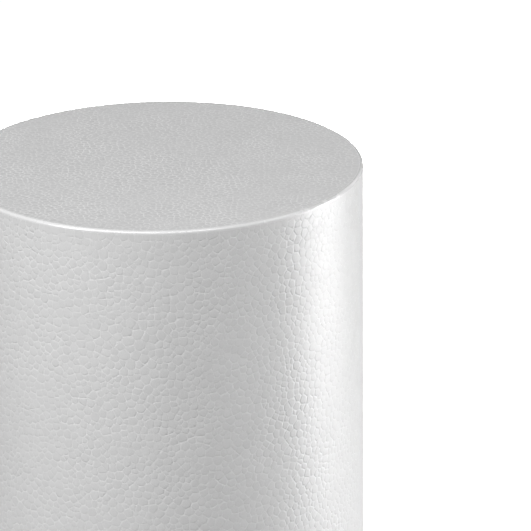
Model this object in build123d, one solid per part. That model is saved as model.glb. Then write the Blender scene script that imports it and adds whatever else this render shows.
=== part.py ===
from build123d import *
import os

# Full-round massage roller of solid bead foam, standing on one end.
# Millimetres, +Z along the roller's axis, origin at the middle of the lower end face.

ROLLER_DIAMETER = 150.0
ROLLER_LENGTH = 300.0
RIM_ROUND = 1.2  # radius on the outer edge of both ends


def foam_body():
    """The whole roller: one solid cylinder of fused beads, with both rims rounded."""
    cylinder = Cylinder(
        radius=ROLLER_DIAMETER / 2,
        height=ROLLER_LENGTH,
        align=(Align.CENTER, Align.CENTER, Align.MIN),
    )
    rims = cylinder.edges().filter_by(GeomType.CIRCLE)
    return fillet(rims, radius=RIM_ROUND)


os.makedirs("parts", exist_ok=True)
export_step(foam_body(), "parts/foam_body.step")
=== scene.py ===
import math

import bpy
import numpy as np
from mathutils import Matrix, Vector, noise
from mathutils.geometry import delaunay_2d_cdt


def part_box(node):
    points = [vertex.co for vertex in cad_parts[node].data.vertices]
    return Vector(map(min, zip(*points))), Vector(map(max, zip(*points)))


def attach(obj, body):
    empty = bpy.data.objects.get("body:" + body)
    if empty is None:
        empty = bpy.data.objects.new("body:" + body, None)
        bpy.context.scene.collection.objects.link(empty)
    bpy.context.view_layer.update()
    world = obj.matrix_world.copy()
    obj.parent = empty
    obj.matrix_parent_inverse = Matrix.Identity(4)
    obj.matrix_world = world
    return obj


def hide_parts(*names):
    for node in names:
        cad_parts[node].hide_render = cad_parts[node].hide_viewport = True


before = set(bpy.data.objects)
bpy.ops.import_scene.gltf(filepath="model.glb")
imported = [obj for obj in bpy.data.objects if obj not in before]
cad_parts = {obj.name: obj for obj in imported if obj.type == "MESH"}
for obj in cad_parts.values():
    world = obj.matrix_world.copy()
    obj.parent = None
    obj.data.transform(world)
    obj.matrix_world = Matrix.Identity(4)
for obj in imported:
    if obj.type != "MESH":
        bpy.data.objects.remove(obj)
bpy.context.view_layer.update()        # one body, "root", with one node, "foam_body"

MM = 0.001

# The roller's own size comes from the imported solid, which stands on z = 0.
low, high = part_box("foam_body")
HEIGHT = high[2] - low[2]
RADIUS = (high[1] - low[1]) / 2

# Beads of the foam: a coarser, deeper pattern on the barrel, and a finer, fainter one on the ends.
BARREL_BEAD = 2.6 * MM        # spacing before the most squeezed beads are left out
END_BEAD = 2.05 * MM
BEAD_SPREAD = 0.42            # largest and smallest beads differ from the middle size by this share
HEXAGON = 0.866               # area of a bead in an even pattern, as a share of its spacing squared
EDGE_BAND = 4                 # a border mirrors the beads that are within this many spacings of it
RELAX_STEPS = 8
MERGE_STEPS = 8
SHORTEST_EDGE = 0.3 * MM      # beads that share less wall than this meet at a point
SMALLEST_BEAD = 0.25          # a bead that is squeezed under this share of the mean area is left out

# Each ring of a bead: how far in from its wall, how deep, and how much of the seam's look it has (the
# seam's painted light, dullness and low gloss).
BARREL_RINGS = ((0, 0.082 * MM, 0.68), (0.14 * MM, 0.046 * MM, 0.24), (0.5 * MM, 0.024 * MM, 0.0))
END_RINGS = ((0, 0.03 * MM, 0.8), (0.18 * MM, 0.008 * MM, 0.38))
CROWN_DROP = 0.012 * MM       # the flattest beads' crowns lie this far under the roundest ones'
TIGHT_SEAM = 0.6              # share of the groove's depth that is left where beads have fused best
PATCH = 17 * MM               # width of the patches of well and loosely fused beads
PATCH_CONTRAST = 0.85
SLANT = 0.012                 # steepest tilt of one bead's face

# Smooth rims.
RIM_ROUND = 1.1 * MM
RIM_GAP = 0.2 * MM            # plain strip between the rim round and the first beads
RIM_SEGMENTS = 540
RIM_STEPS = 8
FADE = 1.1 * MM               # beads sink to the moulded skin over this much beside the rim

# Foam: how white, rough and glossy its bead faces, seams and rims are. The seams are painted paler as
# painted light caught in the grooves, the rims are painted whiter as a painted highlight, and the faces
# beside the seams are painted darker as painted shade.
FACE_WHITE = 0.745
# Painted light: the seams are painted paler than the faces, in place of light caught on the groove
# walls.
SEAM_PAINTED_LIGHT = 0.97
# Painted highlight: the rim round is painted whiter than the bead faces.
RIM_PAINTED_HIGHLIGHT = 0.84
SHOULDER_PAINTED_SHADE = 0.02          # painted shade: how much darker loose beads are painted beside their seams
FACE_ROUGH = 0.38
RIM_ROUGH = 0.25
SEAM_DULL = 0.4               # roughness that a seam adds
FACE_GLOSS = 0.5
SEAM_GLOSS = 0.05
RIM_GLOSS = 1.2
FOAM_IOR = 1.49
GLOW_WEIGHT = 0.06            # light that spreads under the surface, and how far it goes
GLOW_REACH = 0.8 * MM

# How far the white strays from bead to bead, in slow haze and in fine grain, and their widths.
BEAD_TONE = 0.014
HAZE_TONE = 0.012
HAZE = 45 * MM
GRAIN_TONE = 0.018
GRAIN = 0.5 * MM
BREAK = 1.4 * MM              # length of the fainter stretches of a seam
SCUFF = 6 * MM                # width of the duller and shinier spots
WRINKLE_DEPTH = 0.006 * MM
FINE_WRINKLE = 0.35 * MM
BROAD_WRINKLE = 1.1 * MM
BROAD_SHARE = 1.6             # how much stronger the broad wrinkles are than the fine ones

# Floor: how white it is, its own light towards the camera, and how much of the lamps' light it returns.
FLOOR_HALF = 40.0
FLOOR_WHITE = 0.85
FLOOR_LIFT = 0.7
FLOOR_BOUNCE = 0.2
EVEN_LIGHT = 0.095            # low light from all round

# Camera, looking along +Y and down, aimed from the middle of the upper end.
LENS = 271.2
SENSOR = 36.0
FAR_CLIP = 100.0
PITCH = math.radians(20.26)
ROLL = math.radians(-0.55)
DISTANCE = 1.478
AIM_RIGHT = 0.0389
AIM_UP = -0.0379


def camera():
    """A long lens at the photograph's angle, set by its distance from the upper end."""
    forward = Vector((0, math.cos(PITCH), -math.sin(PITCH)))
    side = Vector((1, 0, 0))
    over = side.cross(forward)
    right = math.cos(ROLL) * side + math.sin(ROLL) * over
    up = math.cos(ROLL) * over - math.sin(ROLL) * side
    place = Vector((0, 0, HEIGHT)) - DISTANCE * forward + AIM_RIGHT * right + AIM_UP * up
    data = bpy.data.cameras.new("camera")
    data.lens = LENS
    data.sensor_width = SENSOR
    data.clip_end = FAR_CLIP
    obj = bpy.data.objects.new("camera", data)
    bpy.context.scene.collection.objects.link(obj)
    turn = Matrix((right, up, -forward)).transposed().to_4x4()
    obj.matrix_world = Matrix.Translation(place) @ turn
    bpy.context.scene.camera = obj


class Cells:
    """Voronoi cells as flat arrays: one row for each corner of each cell, in order round the cell."""

    def __init__(self, seeds, size, home, kept, wrap):
        """seeds are plane points, size each bead's radius, home the bead that each stands for, and
        kept how many come first and count. A wall lies nearer to the smaller of its two beads."""
        found = delaunay_2d_cdt([Vector(p) for p in seeds], [], [], 0, 1e-7)
        source = np.array([o[0] for o in found[3]])
        tri = source[np.array(found[2])]
        a, b, c = (seeds[tri[:, i]] for i in range(3))
        pull_a, pull_b, pull_c = (size[tri[:, i]] ** 2 for i in range(3))
        ab, ac = b - a, c - a
        twice = 2 * (ab[:, 0] * ac[:, 1] - ab[:, 1] * ac[:, 0])
        ab2 = (ab**2).sum(1) + pull_a - pull_b
        ac2 = (ac**2).sum(1) + pull_a - pull_c
        centre = a + np.stack(
            [ac[:, 1] * ab2 - ab[:, 1] * ac2, ab[:, 0] * ac2 - ac[:, 0] * ab2], 1
        ) / twice[:, None]
        _, junction = np.unique(np.sort(home[tri], 1), axis=0, return_inverse=True)
        cell = tri.ravel()
        point = np.repeat(centre, 3, 0)
        middle = np.repeat((a + b + c) / 3, 3, 0)
        junction = np.repeat(junction.ravel(), 3)
        mine = cell < kept
        cell, point, junction = cell[mine], point[mine], junction[mine]
        arm = middle[mine] - seeds[cell]
        order = np.lexsort((np.arctan2(arm[:, 1], arm[:, 0]), cell))
        self.cell, self.point, self.junction = cell[order], point[order], junction[order]
        self.wrap = wrap
        self.link()

    def link(self):
        """Works out each row's next and previous row round its cell."""
        n = len(self.cell)
        self.first = np.flatnonzero(np.r_[True, self.cell[1:] != self.cell[:-1]])
        self.count = np.diff(np.r_[self.first, n])
        self.next = np.arange(1, n + 1)
        self.next[self.first + self.count - 1] = self.first
        self.prev = np.empty(n, int)
        self.prev[self.next] = np.arange(n)
        self.row_cell = np.repeat(np.arange(len(self.first)), self.count)

    def centres(self):
        """Area centroids of the cells, and their areas."""
        p, q = self.point, self.point[self.next]
        base = p[self.first][self.row_cell]
        p, q = p - base, q - base
        cross = p[:, 0] * q[:, 1] - p[:, 1] * q[:, 0]
        twice = np.add.reduceat(cross, self.first)
        total = np.add.reduceat((p + q) * cross[:, None], self.first)
        return total / (3 * twice[:, None]) + self.point[self.first], twice / 2

    def walls(self):
        """The wall that each row's corner starts, and each wall's two junctions."""
        ends = np.sort(np.stack([self.junction, self.junction[self.next]], 1), 1)
        walls, wall = np.unique(ends, axis=0, return_inverse=True)
        return wall.ravel(), walls

    def open_rows(self):
        """Rows whose wall has a bead on one side only: the outer border."""
        wall, walls = self.walls()
        return np.flatnonzero(np.bincount(wall, minlength=len(walls))[wall] == 1)

    def fit_border(self, fit):
        """Puts every junction of the outer border exactly on it."""
        rows = self.open_rows()
        on_border = np.isin(self.junction, self.junction[np.r_[rows, self.next[rows]]])
        self.point[on_border] = fit(self.point[on_border])

    def merge_short(self, shortest):
        """Joins the two ends of very short or inside-out walls, so that no sliver is left."""
        step = self.point[self.next] - self.point
        length = np.hypot(*step.T)
        middle = np.add.reduceat(self.point, self.first) / self.count[:, None]
        arm = self.point - middle[self.row_cell]
        outward = arm[:, 0] * step[:, 1] - arm[:, 1] * step[:, 0] > 0
        wall, walls = self.walls()
        weak = np.zeros(len(walls), bool)
        np.logical_or.at(weak, wall, (length < shortest) | ~outward)
        np.logical_and.at(weak, wall, self.count[self.row_cell] > 3)
        rows = np.flatnonzero(weak[wall])

        # Only the shortest weak wall at each junction and of each bead joins, so no bead collapses.
        span = np.full(len(walls), np.inf)
        np.minimum.at(span, wall[rows], length[rows])
        span += 1e-9 * np.arange(len(walls)) / len(walls)
        least_junction = np.full(self.junction.max() + 1, np.inf)
        least_cell = np.full(len(self.first), np.inf)
        for side in (0, 1):
            np.minimum.at(least_junction, walls[wall[rows], side], span[wall[rows]])
        np.minimum.at(least_cell, self.row_cell[rows], span[wall[rows]])
        chosen = (least_junction[walls] >= span[:, None]).all(1) & weak
        np.logical_and.at(chosen, wall[rows], least_cell[self.row_cell[rows]] >= span[wall[rows]])

        label = np.arange(len(least_junction))
        label[walls[chosen, 1]] = walls[chosen, 0]
        place = np.empty((len(label), 2))
        place[self.junction] = self.point
        picked = np.flatnonzero(chosen[wall])
        place[walls[wall[picked], 0]] = self.point[picked] + step[picked] / 2
        self.junction = label[self.junction]
        moved = place[self.junction]
        if self.wrap:
            moved[:, 0] += self.wrap * np.round((self.point[:, 0] - moved[:, 0]) / self.wrap)
        self.point = moved
        keep = self.junction != self.junction[self.next]
        for name in ("cell", "point", "junction"):
            setattr(self, name, getattr(self, name)[keep])
        self.link()


def bead_sizes(rng, count, middle):
    """A radius for each bead."""
    return middle / 2 * (1 + BEAD_SPREAD * rng.uniform(-1, 1, count))


def packed(seeds, size, images, keep_in, fit, wrap):
    """Cells of beads that have been shuffled until they pack evenly. images gives the seeds with
    their repeats past the borders, keep_in moves a stray seed back inside, and fit puts corners
    on the border."""
    for _ in range(RELAX_STEPS):
        points, home = images(seeds)
        cells = Cells(points, size[home % len(seeds)], home, len(seeds), wrap)
        centre, area = cells.centres()
        live = area > SMALLEST_BEAD * area.mean()
        seeds, size = keep_in(centre[live]), size[cells.cell[cells.first]][live]
    points, home = images(seeds)
    cells = Cells(points, size[home % len(seeds)], home, len(seeds), wrap)
    for _ in range(MERGE_STEPS):
        cells.fit_border(fit)
        cells.merge_short(SHORTEST_EDGE)
    cells.fit_border(fit)
    return cells


def barrel_cells(rng, length):
    """Bead cells on the unrolled barrel, which closes on itself round the roller."""
    round_trip = 2 * math.pi * RADIUS
    count = int(round_trip * length / (HEXAGON * BARREL_BEAD**2))
    seeds = rng.random((count, 2)) * (round_trip, length)
    margin = EDGE_BAND * BARREL_BEAD

    def images(seeds):
        index, y = np.arange(len(seeds)), seeds[:, 1]
        low, high = y < margin, y > length - margin
        above = (0, 2 * length) + seeds[high] * (1, -1)
        points = np.concatenate([seeds, seeds[low] * (1, -1), above])
        home = np.concatenate([index, len(seeds) + index[low], 2 * len(seeds) + index[high]])
        left, right = points[:, 0] < margin, points[:, 0] > round_trip - margin
        turned = (points[left] + (round_trip, 0), points[right] - (round_trip, 0))
        return np.concatenate([points, *turned]), np.concatenate([home, home[left], home[right]])

    def keep_in(seeds):
        y = np.clip(seeds[:, 1], BARREL_BEAD / 3, length - BARREL_BEAD / 3)
        return np.stack([seeds[:, 0] % round_trip, y], 1)

    def fit(corners):
        return np.stack([corners[:, 0], np.where(corners[:, 1] < length / 2, 0, length)], 1)

    sizes = bead_sizes(rng, count, BARREL_BEAD)
    return packed(seeds, sizes, images, keep_in, fit, round_trip)


def disc_cells(rng, radius):
    """Bead cells on the flat disc of an end."""
    count = int(math.pi * radius**2 / (HEXAGON * END_BEAD**2))
    far = radius * np.sqrt(rng.random(count))
    turn = 2 * math.pi * rng.random(count)
    seeds = np.stack([far * np.cos(turn), far * np.sin(turn)], 1)

    def images(seeds):
        index, far = np.arange(len(seeds)), np.hypot(*seeds.T)
        outer = far > radius - EDGE_BAND * END_BEAD
        mirrored = seeds[outer] * (2 * radius / far[outer] - 1)[:, None]
        return np.concatenate([seeds, mirrored]), np.concatenate([index, len(seeds) + index[outer]])

    def keep_in(seeds):
        most = radius - END_BEAD / 3
        return seeds * np.minimum(1, most / np.hypot(*seeds.T))[:, None]

    def fit(corners):
        return corners * (radius / np.hypot(*corners.T))[:, None]

    return packed(seeds, bead_sizes(rng, count, END_BEAD), images, keep_in, fit, 0)


class Skin:
    """Gathers vertices and faces of one closed mesh."""

    def __init__(self):
        self.verts, self.faces, self.groove, self.loose, self.bead = [], [], [], [], []
        self.total = 0

    def add_verts(self, places, groove, loose):
        """Adds vertices and returns their numbers. groove is how deep in a groove each is, from 0
        to 1, or -1 on the rim, and loose is how poorly the beads there have fused."""
        ids = np.arange(self.total, self.total + len(places))
        self.total += len(places)
        self.verts.append(places)
        self.groove.append(np.broadcast_to(groove, len(places)))
        self.loose.append(np.broadcast_to(loose, len(places)))
        return ids

    def add_faces(self, corners, bead):
        """Adds faces that have one number of corners, with the tone of the bead each is on."""
        self.faces.append(corners)
        self.bead.append(np.broadcast_to(bead, len(corners)))

    def mesh(self, name):
        data = bpy.data.meshes.new(name)
        verts = np.concatenate(self.verts)
        sizes = np.concatenate([np.full(len(f), f.shape[1]) for f in self.faces])
        loops = np.concatenate([f.ravel() for f in self.faces])
        data.vertices.add(len(verts))
        data.vertices.foreach_set("co", verts.astype(np.float32).ravel())
        data.loops.add(len(loops))
        data.loops.foreach_set("vertex_index", loops.astype(np.int32))
        data.polygons.add(len(sizes))
        starts = np.r_[0, np.cumsum(sizes)[:-1]]
        data.polygons.foreach_set("loop_start", starts.astype(np.int32))
        data.polygons.foreach_set("use_smooth", np.ones(len(sizes), bool))
        for label, domain, parts in (
            ("groove", "POINT", self.groove),
            ("loose", "POINT", self.loose),
            ("bead", "FACE", self.bead),
        ):
            layer = data.attributes.new(label, "FLOAT", domain)
            layer.data.foreach_set("value", np.concatenate(parts).astype(np.float32))
        data.update()
        data.validate()
        return data


def smooth_rise(x):
    """Rises from 0 to 1 between x = 0 and 1, with soft ends."""
    x = np.clip(x, 0, 1)
    return x * x * (3 - 2 * x)


def patches(places, size):
    """Slow variation from 0 to 1 over the skin."""
    level = np.array([noise.noise(Vector(p)) for p in places / size])
    return smooth_rise(0.5 + PATCH_CONTRAST * level)


def lay_beads(skin, cells, rings, rng, place, strength, flip):
    """Builds every bead as a shallow pillow between grooves, and returns each row's corner vertex.
    place turns plane points and depths into space, strength is how much of its relief a bead
    keeps at a point, and flip turns the faces over."""
    beads = len(cells.first)
    middle = np.add.reduceat(cells.point, cells.first) / cells.count[:, None]
    hub = middle[cells.row_cell]
    tone = rng.random(beads)
    loose = patches(place(middle, np.zeros(beads)), PATCH)
    relief = (TIGHT_SEAM + (1 - TIGHT_SEAM) * loose) * rng.uniform(0.7, 1.3, beads)
    tilt = rng.uniform(-SLANT, SLANT, (beads, 2))
    row_loose, row_relief, row_tilt = (v[cells.row_cell] for v in (loose, relief, tilt))

    def ring(points, depth, groove):
        slant = ((points - hub) * row_tilt).sum(1)
        sunk = np.maximum(depth * row_relief + slant, 0)
        return skin.add_verts(place(points, sunk * strength(points)), groove, row_loose)

    def faces(*corners):
        stacked = np.stack(corners, 1)
        skin.add_faces(stacked[:, ::-1] if flip else stacked, np.repeat(tone, cells.count))

    # One vertex stands for all the rows that meet at a junction of three or more beads.
    _, where, again = np.unique(cells.junction, return_index=True, return_inverse=True)
    meeting = np.bincount(again)
    shared = [np.bincount(again, v) / meeting for v in (row_relief, row_loose)]
    sunk = rings[0][1] * shared[0] * rng.uniform(0.7, 1.5, len(where))
    points = cells.point[where]
    corner = skin.add_verts(place(points, sunk * strength(points)), rings[0][2], shared[1])[again]

    def inset(points, by):
        arm = hub - points
        far = np.hypot(*arm.T)[:, None]
        return points + arm / far * np.minimum(by, 0.5 * far)

    # The second ring has two vertices for each wall, a quarter in from the wall's ends.
    p, q = cells.point, cells.point[cells.next]
    by, depth, groove = rings[1]
    start = ring(inset(0.75 * p + 0.25 * q, by), depth, groove)
    end = ring(inset(0.25 * p + 0.75 * q, by), depth, groove)
    before = end[cells.prev]
    faces(corner, corner[cells.next], end)
    faces(corner, end, start)
    faces(corner, start, before)
    drop = CROWN_DROP * rng.random(beads) * strength(middle)
    crown = skin.add_verts(place(middle, drop), 0.0, loose)[cells.row_cell]
    if len(rings) > 2:
        by, depth, groove = rings[2]
        inner = ring(inset(0.5 * p + 0.5 * q, by), depth, groove)
        faces(start, end, inner)
        faces(before, start, inner)
        faces(before, inner, inner[cells.prev])
        faces(inner[cells.prev], inner, crown)
    else:
        faces(start, end, crown)
        faces(before, start, crown)
    return corner


def border(corner, rows, angles):
    """The border vertices that the given rows' walls start from, in order, with their angles."""
    angles = angles[rows] % (2 * math.pi)
    order = np.argsort(angles)
    return corner[rows][order], angles[order]


def zip_loops(lower, upper):
    """Triangles between two closed loops of different counts, each given as ids and angles."""
    (a, ta), (b, tb) = lower, upper
    na, nb = len(a), len(b)
    tris, i, j = [], 0, 0
    while i < na or j < nb:
        next_a = ta[i + 1] if i + 1 < na else ta[(i + 1) % na] + 2 * math.pi
        next_b = tb[j + 1] if j + 1 < nb else tb[(j + 1) % nb] + 2 * math.pi
        if j >= nb or (i < na and next_a <= next_b):
            tris.append((a[i % na], a[(i + 1) % na], b[j % nb]))
            i += 1
        else:
            tris.append((a[i % na], b[(j + 1) % nb], b[j % nb]))
            j += 1
    return np.array(tris)


def rim(skin, barrel_loop, end_loop, upward):
    """The smooth round between the barrel and an end."""
    turn = np.arange(RIM_SEGMENTS) * 2 * math.pi / RIM_SEGMENTS
    loops = []
    for step in range(RIM_STEPS + 1):
        tilt = math.pi / 2 * step / RIM_STEPS
        out = RADIUS - RIM_ROUND + RIM_ROUND * math.cos(tilt)
        rise = HEIGHT - RIM_ROUND + RIM_ROUND * math.sin(tilt)
        z = rise if upward else HEIGHT - rise
        places = np.stack([out * np.cos(turn), out * np.sin(turn), np.full(RIM_SEGMENTS, z)], 1)
        loops.append(skin.add_verts(places, -1.0, 0.5))

    def add(faces):
        skin.add_faces(faces if upward else faces[:, ::-1], 0.5)

    add(zip_loops(barrel_loop, (loops[0], turn)))
    for lower, upper in zip(loops, loops[1:]):
        add(np.stack([lower, np.roll(lower, -1), np.roll(upper, -1), upper], 1))
    add(zip_loops((loops[-1], turn), end_loop))


def foam_skin():
    """The roller's whole skin: beaded barrel, two beaded ends and two smooth rims."""
    rng = np.random.default_rng(7)
    skin = Skin()
    start = RIM_ROUND + RIM_GAP
    length = HEIGHT - 2 * start
    flat = RADIUS - start

    def on_barrel(points, depth):
        turn = points[:, 0] / RADIUS
        out = RADIUS - depth
        return np.stack([out * np.cos(turn), out * np.sin(turn), points[:, 1] + start], 1)

    def barrel_strength(points):
        edge = np.minimum(points[:, 1], length - points[:, 1])
        return smooth_rise(edge / FADE)

    cells = barrel_cells(rng, length)
    corner = lay_beads(skin, cells, BARREL_RINGS, rng, on_barrel, barrel_strength, False)
    turn = cells.point[:, 0] / RADIUS
    outer = cells.open_rows()
    upper = cells.point[outer, 1] > length / 2
    for upward, rows in ((True, outer[upper]), (False, outer[~upper])):
        barrel_loop = border(corner, rows, turn)

        def on_end(points, depth):
            z = HEIGHT - depth if upward else depth
            return np.column_stack([points, z])

        def end_strength(points):
            return smooth_rise((flat - np.hypot(*points.T)) / FADE)

        disc = disc_cells(rng, flat)
        end_corner = lay_beads(skin, disc, END_RINGS, rng, on_end, end_strength, not upward)
        end_turn = np.arctan2(disc.point[:, 1], disc.point[:, 0])
        rim(skin, barrel_loop, border(end_corner, disc.open_rows(), end_turn), upward)
    return skin.mesh("foam_skin")


class Nodes:
    """Short ways to add nodes to a material. An input takes a number or another node's output."""

    def __init__(self, tree):
        self.tree = tree
        self.coords = tree.nodes.new("ShaderNodeTexCoord").outputs["Object"]

    def plug(self, item, socket):
        if isinstance(item, bpy.types.NodeSocket):
            self.tree.links.new(item, socket)
        else:
            socket.default_value = item

    def attribute(self, name):
        node = self.tree.nodes.new("ShaderNodeAttribute")
        node.attribute_name = name
        return node.outputs["Fac"]

    def value(self, operation, *inputs):
        node = self.tree.nodes.new("ShaderNodeMath")
        node.operation = operation
        for number, item in enumerate(inputs):
            self.plug(item, node.inputs[number])
        return node.outputs[0]

    def spread(self, item, from_low, from_high, to_low, to_high, kind="LINEAR"):
        """Maps one span of numbers onto another, and holds what lies outside it."""
        node = self.tree.nodes.new("ShaderNodeMapRange")
        node.interpolation_type = kind
        self.plug(item, node.inputs["Value"])
        for name, number in zip(("From Min", "From Max", "To Min", "To Max"),
                                (from_low, from_high, to_low, to_high)):
            self.plug(number, node.inputs[name])
        return node.outputs["Result"]

    def cloud(self, feature, detail=2.0, rough=0.5):
        """Noise from 0 to 1 whose blobs are about one feature wide."""
        node = self.tree.nodes.new("ShaderNodeTexNoise")
        self.plug(self.coords, node.inputs["Vector"])
        node.inputs["Scale"].default_value = 1 / feature
        node.inputs["Detail"].default_value = detail
        node.inputs["Roughness"].default_value = rough
        return node.outputs["Fac"]

    def bump(self, height, depth):
        node = self.tree.nodes.new("ShaderNodeBump")
        node.inputs["Strength"].default_value = 1.0
        node.inputs["Distance"].default_value = depth
        self.plug(height, node.inputs["Height"])
        return node.outputs["Normal"]


def foam_material():
    """White bead foam: satin faces, dull seams painted paler as painted light, painted shade on the
    faces beside the seams, a rim painted whiter as a painted highlight, and slow changes in how well
    the beads fused.
    """
    mat = bpy.data.materials.new("fused_beads")
    mat.use_nodes = True
    shader = mat.node_tree.nodes["Principled BSDF"].inputs
    nodes = Nodes(mat.node_tree)
    value, spread, cloud = nodes.value, nodes.spread, nodes.cloud

    # Where the seams are, how strong each stretch of one is, and where the rims are.
    groove = nodes.attribute("groove")
    seam = spread(groove, 0.22, 0.82, 0, 1, "SMOOTHSTEP")
    loose = spread(nodes.attribute("loose"), 0, 1, 0.55, 1.0)
    broken = spread(cloud(BREAK), 0.38, 0.52, 0.42, 1.0)
    # The seams' paleness is painted light. This mask sets where it is painted and how strongly.
    seam_light_mask = value("MULTIPLY", seam, value("MULTIPLY", loose, broken))
    on_rim = spread(groove, 0, -1, 0, 1)

    # Whiteness: the beads' own tone, with painted shade beside the seams, a painted highlight on the
    # rims and painted light along the seams.
    tone = spread(nodes.attribute("bead"), 0, 1, -BEAD_TONE, BEAD_TONE)
    haze = spread(cloud(HAZE, 3), 0.3, 0.7, -HAZE_TONE, HAZE_TONE)
    grain = spread(cloud(GRAIN, 3, 0.6), 0.3, 0.7, -GRAIN_TONE, GRAIN_TONE)
    face = value("ADD", FACE_WHITE, value("ADD", tone, value("ADD", haze, grain)))
    # Painted shade: faces are darkened just inside the seams, where the grooves would shade them.
    shoulder_painted_shade = spread(groove, 0, 0.3, 0, SHOULDER_PAINTED_SHADE, "SMOOTHSTEP")
    face_and_painted_shade = value("SUBTRACT", face, value("MULTIPLY", shoulder_painted_shade, loose))
    # Painted highlight: the rim is painted whiter.
    with_painted_rim_highlight = value("ADD", face_and_painted_shade, value("MULTIPLY", on_rim, RIM_PAINTED_HIGHLIGHT - FACE_WHITE))
    # Painted light: the seams are painted paler than the faces.
    painted_seam_light = value("MULTIPLY", seam_light_mask, SEAM_PAINTED_LIGHT - FACE_WHITE + SHOULDER_PAINTED_SHADE)
    nodes.plug(value("ADD", with_painted_rim_highlight, painted_seam_light), shader["Base Color"])

    # Roughness and gloss.
    satin = value("ADD", FACE_ROUGH, spread(cloud(SCUFF, 4, 0.6), 0.35, 0.7, -0.04, 0.06))
    polish = value("MULTIPLY", on_rim, RIM_ROUGH - FACE_ROUGH)
    dull = value("ADD", polish, value("MULTIPLY", seam, SEAM_DULL))
    nodes.plug(value("ADD", satin, dull), shader["Roughness"])
    gloss = spread(seam, 0, 1, FACE_GLOSS, SEAM_GLOSS)
    rim_gloss = value("MULTIPLY", on_rim, RIM_GLOSS - FACE_GLOSS)
    nodes.plug(value("ADD", gloss, rim_gloss), shader["Specular IOR Level"])
    shader["IOR"].default_value = FOAM_IOR
    shader["Subsurface Weight"].default_value = GLOW_WEIGHT
    shader["Subsurface Radius"].default_value = (1, 1, 1)
    shader["Subsurface Scale"].default_value = GLOW_REACH

    # Skin wrinkles on each bead, too fine to be modelled.
    broad = value("MULTIPLY", cloud(BROAD_WRINKLE), BROAD_SHARE)
    height = value("ADD", cloud(FINE_WRINKLE), broad)
    nodes.plug(nodes.bump(height, WRINKLE_DEPTH), shader["Normal"])
    return mat


def lamp(name, azimuth, elevation, distance, size, power):
    """A soft light aimed at the roller's middle. Azimuth 0 is the camera's side, + to its right;
    size is its width and height."""
    az, el = math.radians(azimuth), math.radians(elevation)
    towards = Vector((math.sin(az) * math.cos(el), -math.cos(az) * math.cos(el), math.sin(el)))
    data = bpy.data.lights.new(name, "AREA")
    data.shape = "RECTANGLE"
    data.size, data.size_y = size
    data.energy = power
    obj = bpy.data.objects.new(name, data)
    obj.location = Vector((0, 0, HEIGHT / 2)) + distance * towards
    obj.rotation_euler = towards.to_track_quat("Z", "Y").to_euler()
    obj.visible_camera = False
    bpy.context.scene.collection.objects.link(obj)


def camera_only(tree, seen, other, out):
    """Sends one shader to the camera's own rays, and another to the rays that carry light."""
    ray = tree.nodes.new("ShaderNodeLightPath")
    pick = tree.nodes.new("ShaderNodeMixShader")
    tree.links.new(ray.outputs["Is Camera Ray"], pick.inputs[0])
    tree.links.new(other, pick.inputs[1])
    tree.links.new(seen, pick.inputs[2])
    tree.links.new(pick.outputs[0], out)


def surroundings():
    """A white studio: it looks white, and gives a low even light from all round."""
    world = bpy.data.worlds.new("world")
    bpy.context.scene.world = world
    world.use_nodes = True
    tree = world.node_tree
    even = tree.nodes["Background"]
    even.inputs["Color"].default_value = (1, 1, 1, 1)
    even.inputs["Strength"].default_value = EVEN_LIGHT
    white = tree.nodes.new("ShaderNodeBackground")
    white.inputs["Color"].default_value = (1, 1, 1, 1)
    camera_only(tree, white.outputs[0], even.outputs[0], tree.nodes["World Output"].inputs["Surface"])


def floor():
    """A pale floor at z = 0."""
    data = bpy.data.meshes.new("floor")
    corners = [(x * FLOOR_HALF, y * FLOOR_HALF, 0) for x, y in ((-1, -1), (1, -1), (1, 1), (-1, 1))]
    data.from_pydata(corners, [], [(0, 1, 2, 3)])
    obj = bpy.data.objects.new("floor", data)
    bpy.context.scene.collection.objects.link(obj)
    mat = bpy.data.materials.new("floor")
    mat.use_nodes = True
    tree = mat.node_tree
    tree.nodes.clear()
    seen, bounce = (tree.nodes.new("ShaderNodeBsdfDiffuse") for _ in range(2))
    seen.inputs["Color"].default_value = (FLOOR_WHITE, FLOOR_WHITE, FLOOR_WHITE, 1)
    bounce.inputs["Color"].default_value = (FLOOR_BOUNCE, FLOOR_BOUNCE, FLOOR_BOUNCE, 1)
    lift = tree.nodes.new("ShaderNodeEmission")
    lift.inputs["Strength"].default_value = FLOOR_LIFT
    white = tree.nodes.new("ShaderNodeAddShader")
    out = tree.nodes.new("ShaderNodeOutputMaterial")
    tree.links.new(seen.outputs[0], white.inputs[0])
    tree.links.new(lift.outputs[0], white.inputs[1])
    camera_only(tree, white.outputs[0], bounce.outputs[0], out.inputs["Surface"])
    data.materials.append(mat)


camera()
roller = bpy.data.objects.new("foam_roller_skin", foam_skin())
bpy.context.scene.collection.objects.link(roller)
roller.data.materials.append(foam_material())
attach(roller, "root")
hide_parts("foam_body")

floor()
surroundings()

# Broad soft light on the left, and narrower lights whose reflections run along the near rim.
lamp("left", -50, 45, 2.0, (0.6, 0.6), 8.0)
lamp("left_low", -50, 20, 2.0, (0.6, 0.6), 12.4)
lamp("front", -9, 47, 2.0, (0.5, 0.12), 6.8)
lamp("front_left", -32, 50, 2.0, (0.3, 0.3), 6.2)
lamp("over", 26, 57, 2.0, (0.7, 0.1), 5.4)

# The bright band on the right. The camera looks down, so low, close panels make its reflections.
lamp("right_over", 85, 45, 2.0, (0.6, 0.6), 3.8)
lamp("right", 98, 5, 2.0, (0.6, 0.6), 5.4)
lamp("right_low", 105, -3.5, 0.8, (0.2, 0.18), 2.15)
lamp("right_near", 90, -5.5, 0.5, (0.15, 0.18), 0.9)

# Fill for the rim's far side and for the back, which the camera's side doesn't see.
lamp("right_back", 140, 25, 2.0, (0.6, 0.6), 2.0)
lamp("behind", 180, 0, 1.2, (0.4, 0.25), 10.0)
bpy.context.scene.view_settings.view_transform = "Standard"
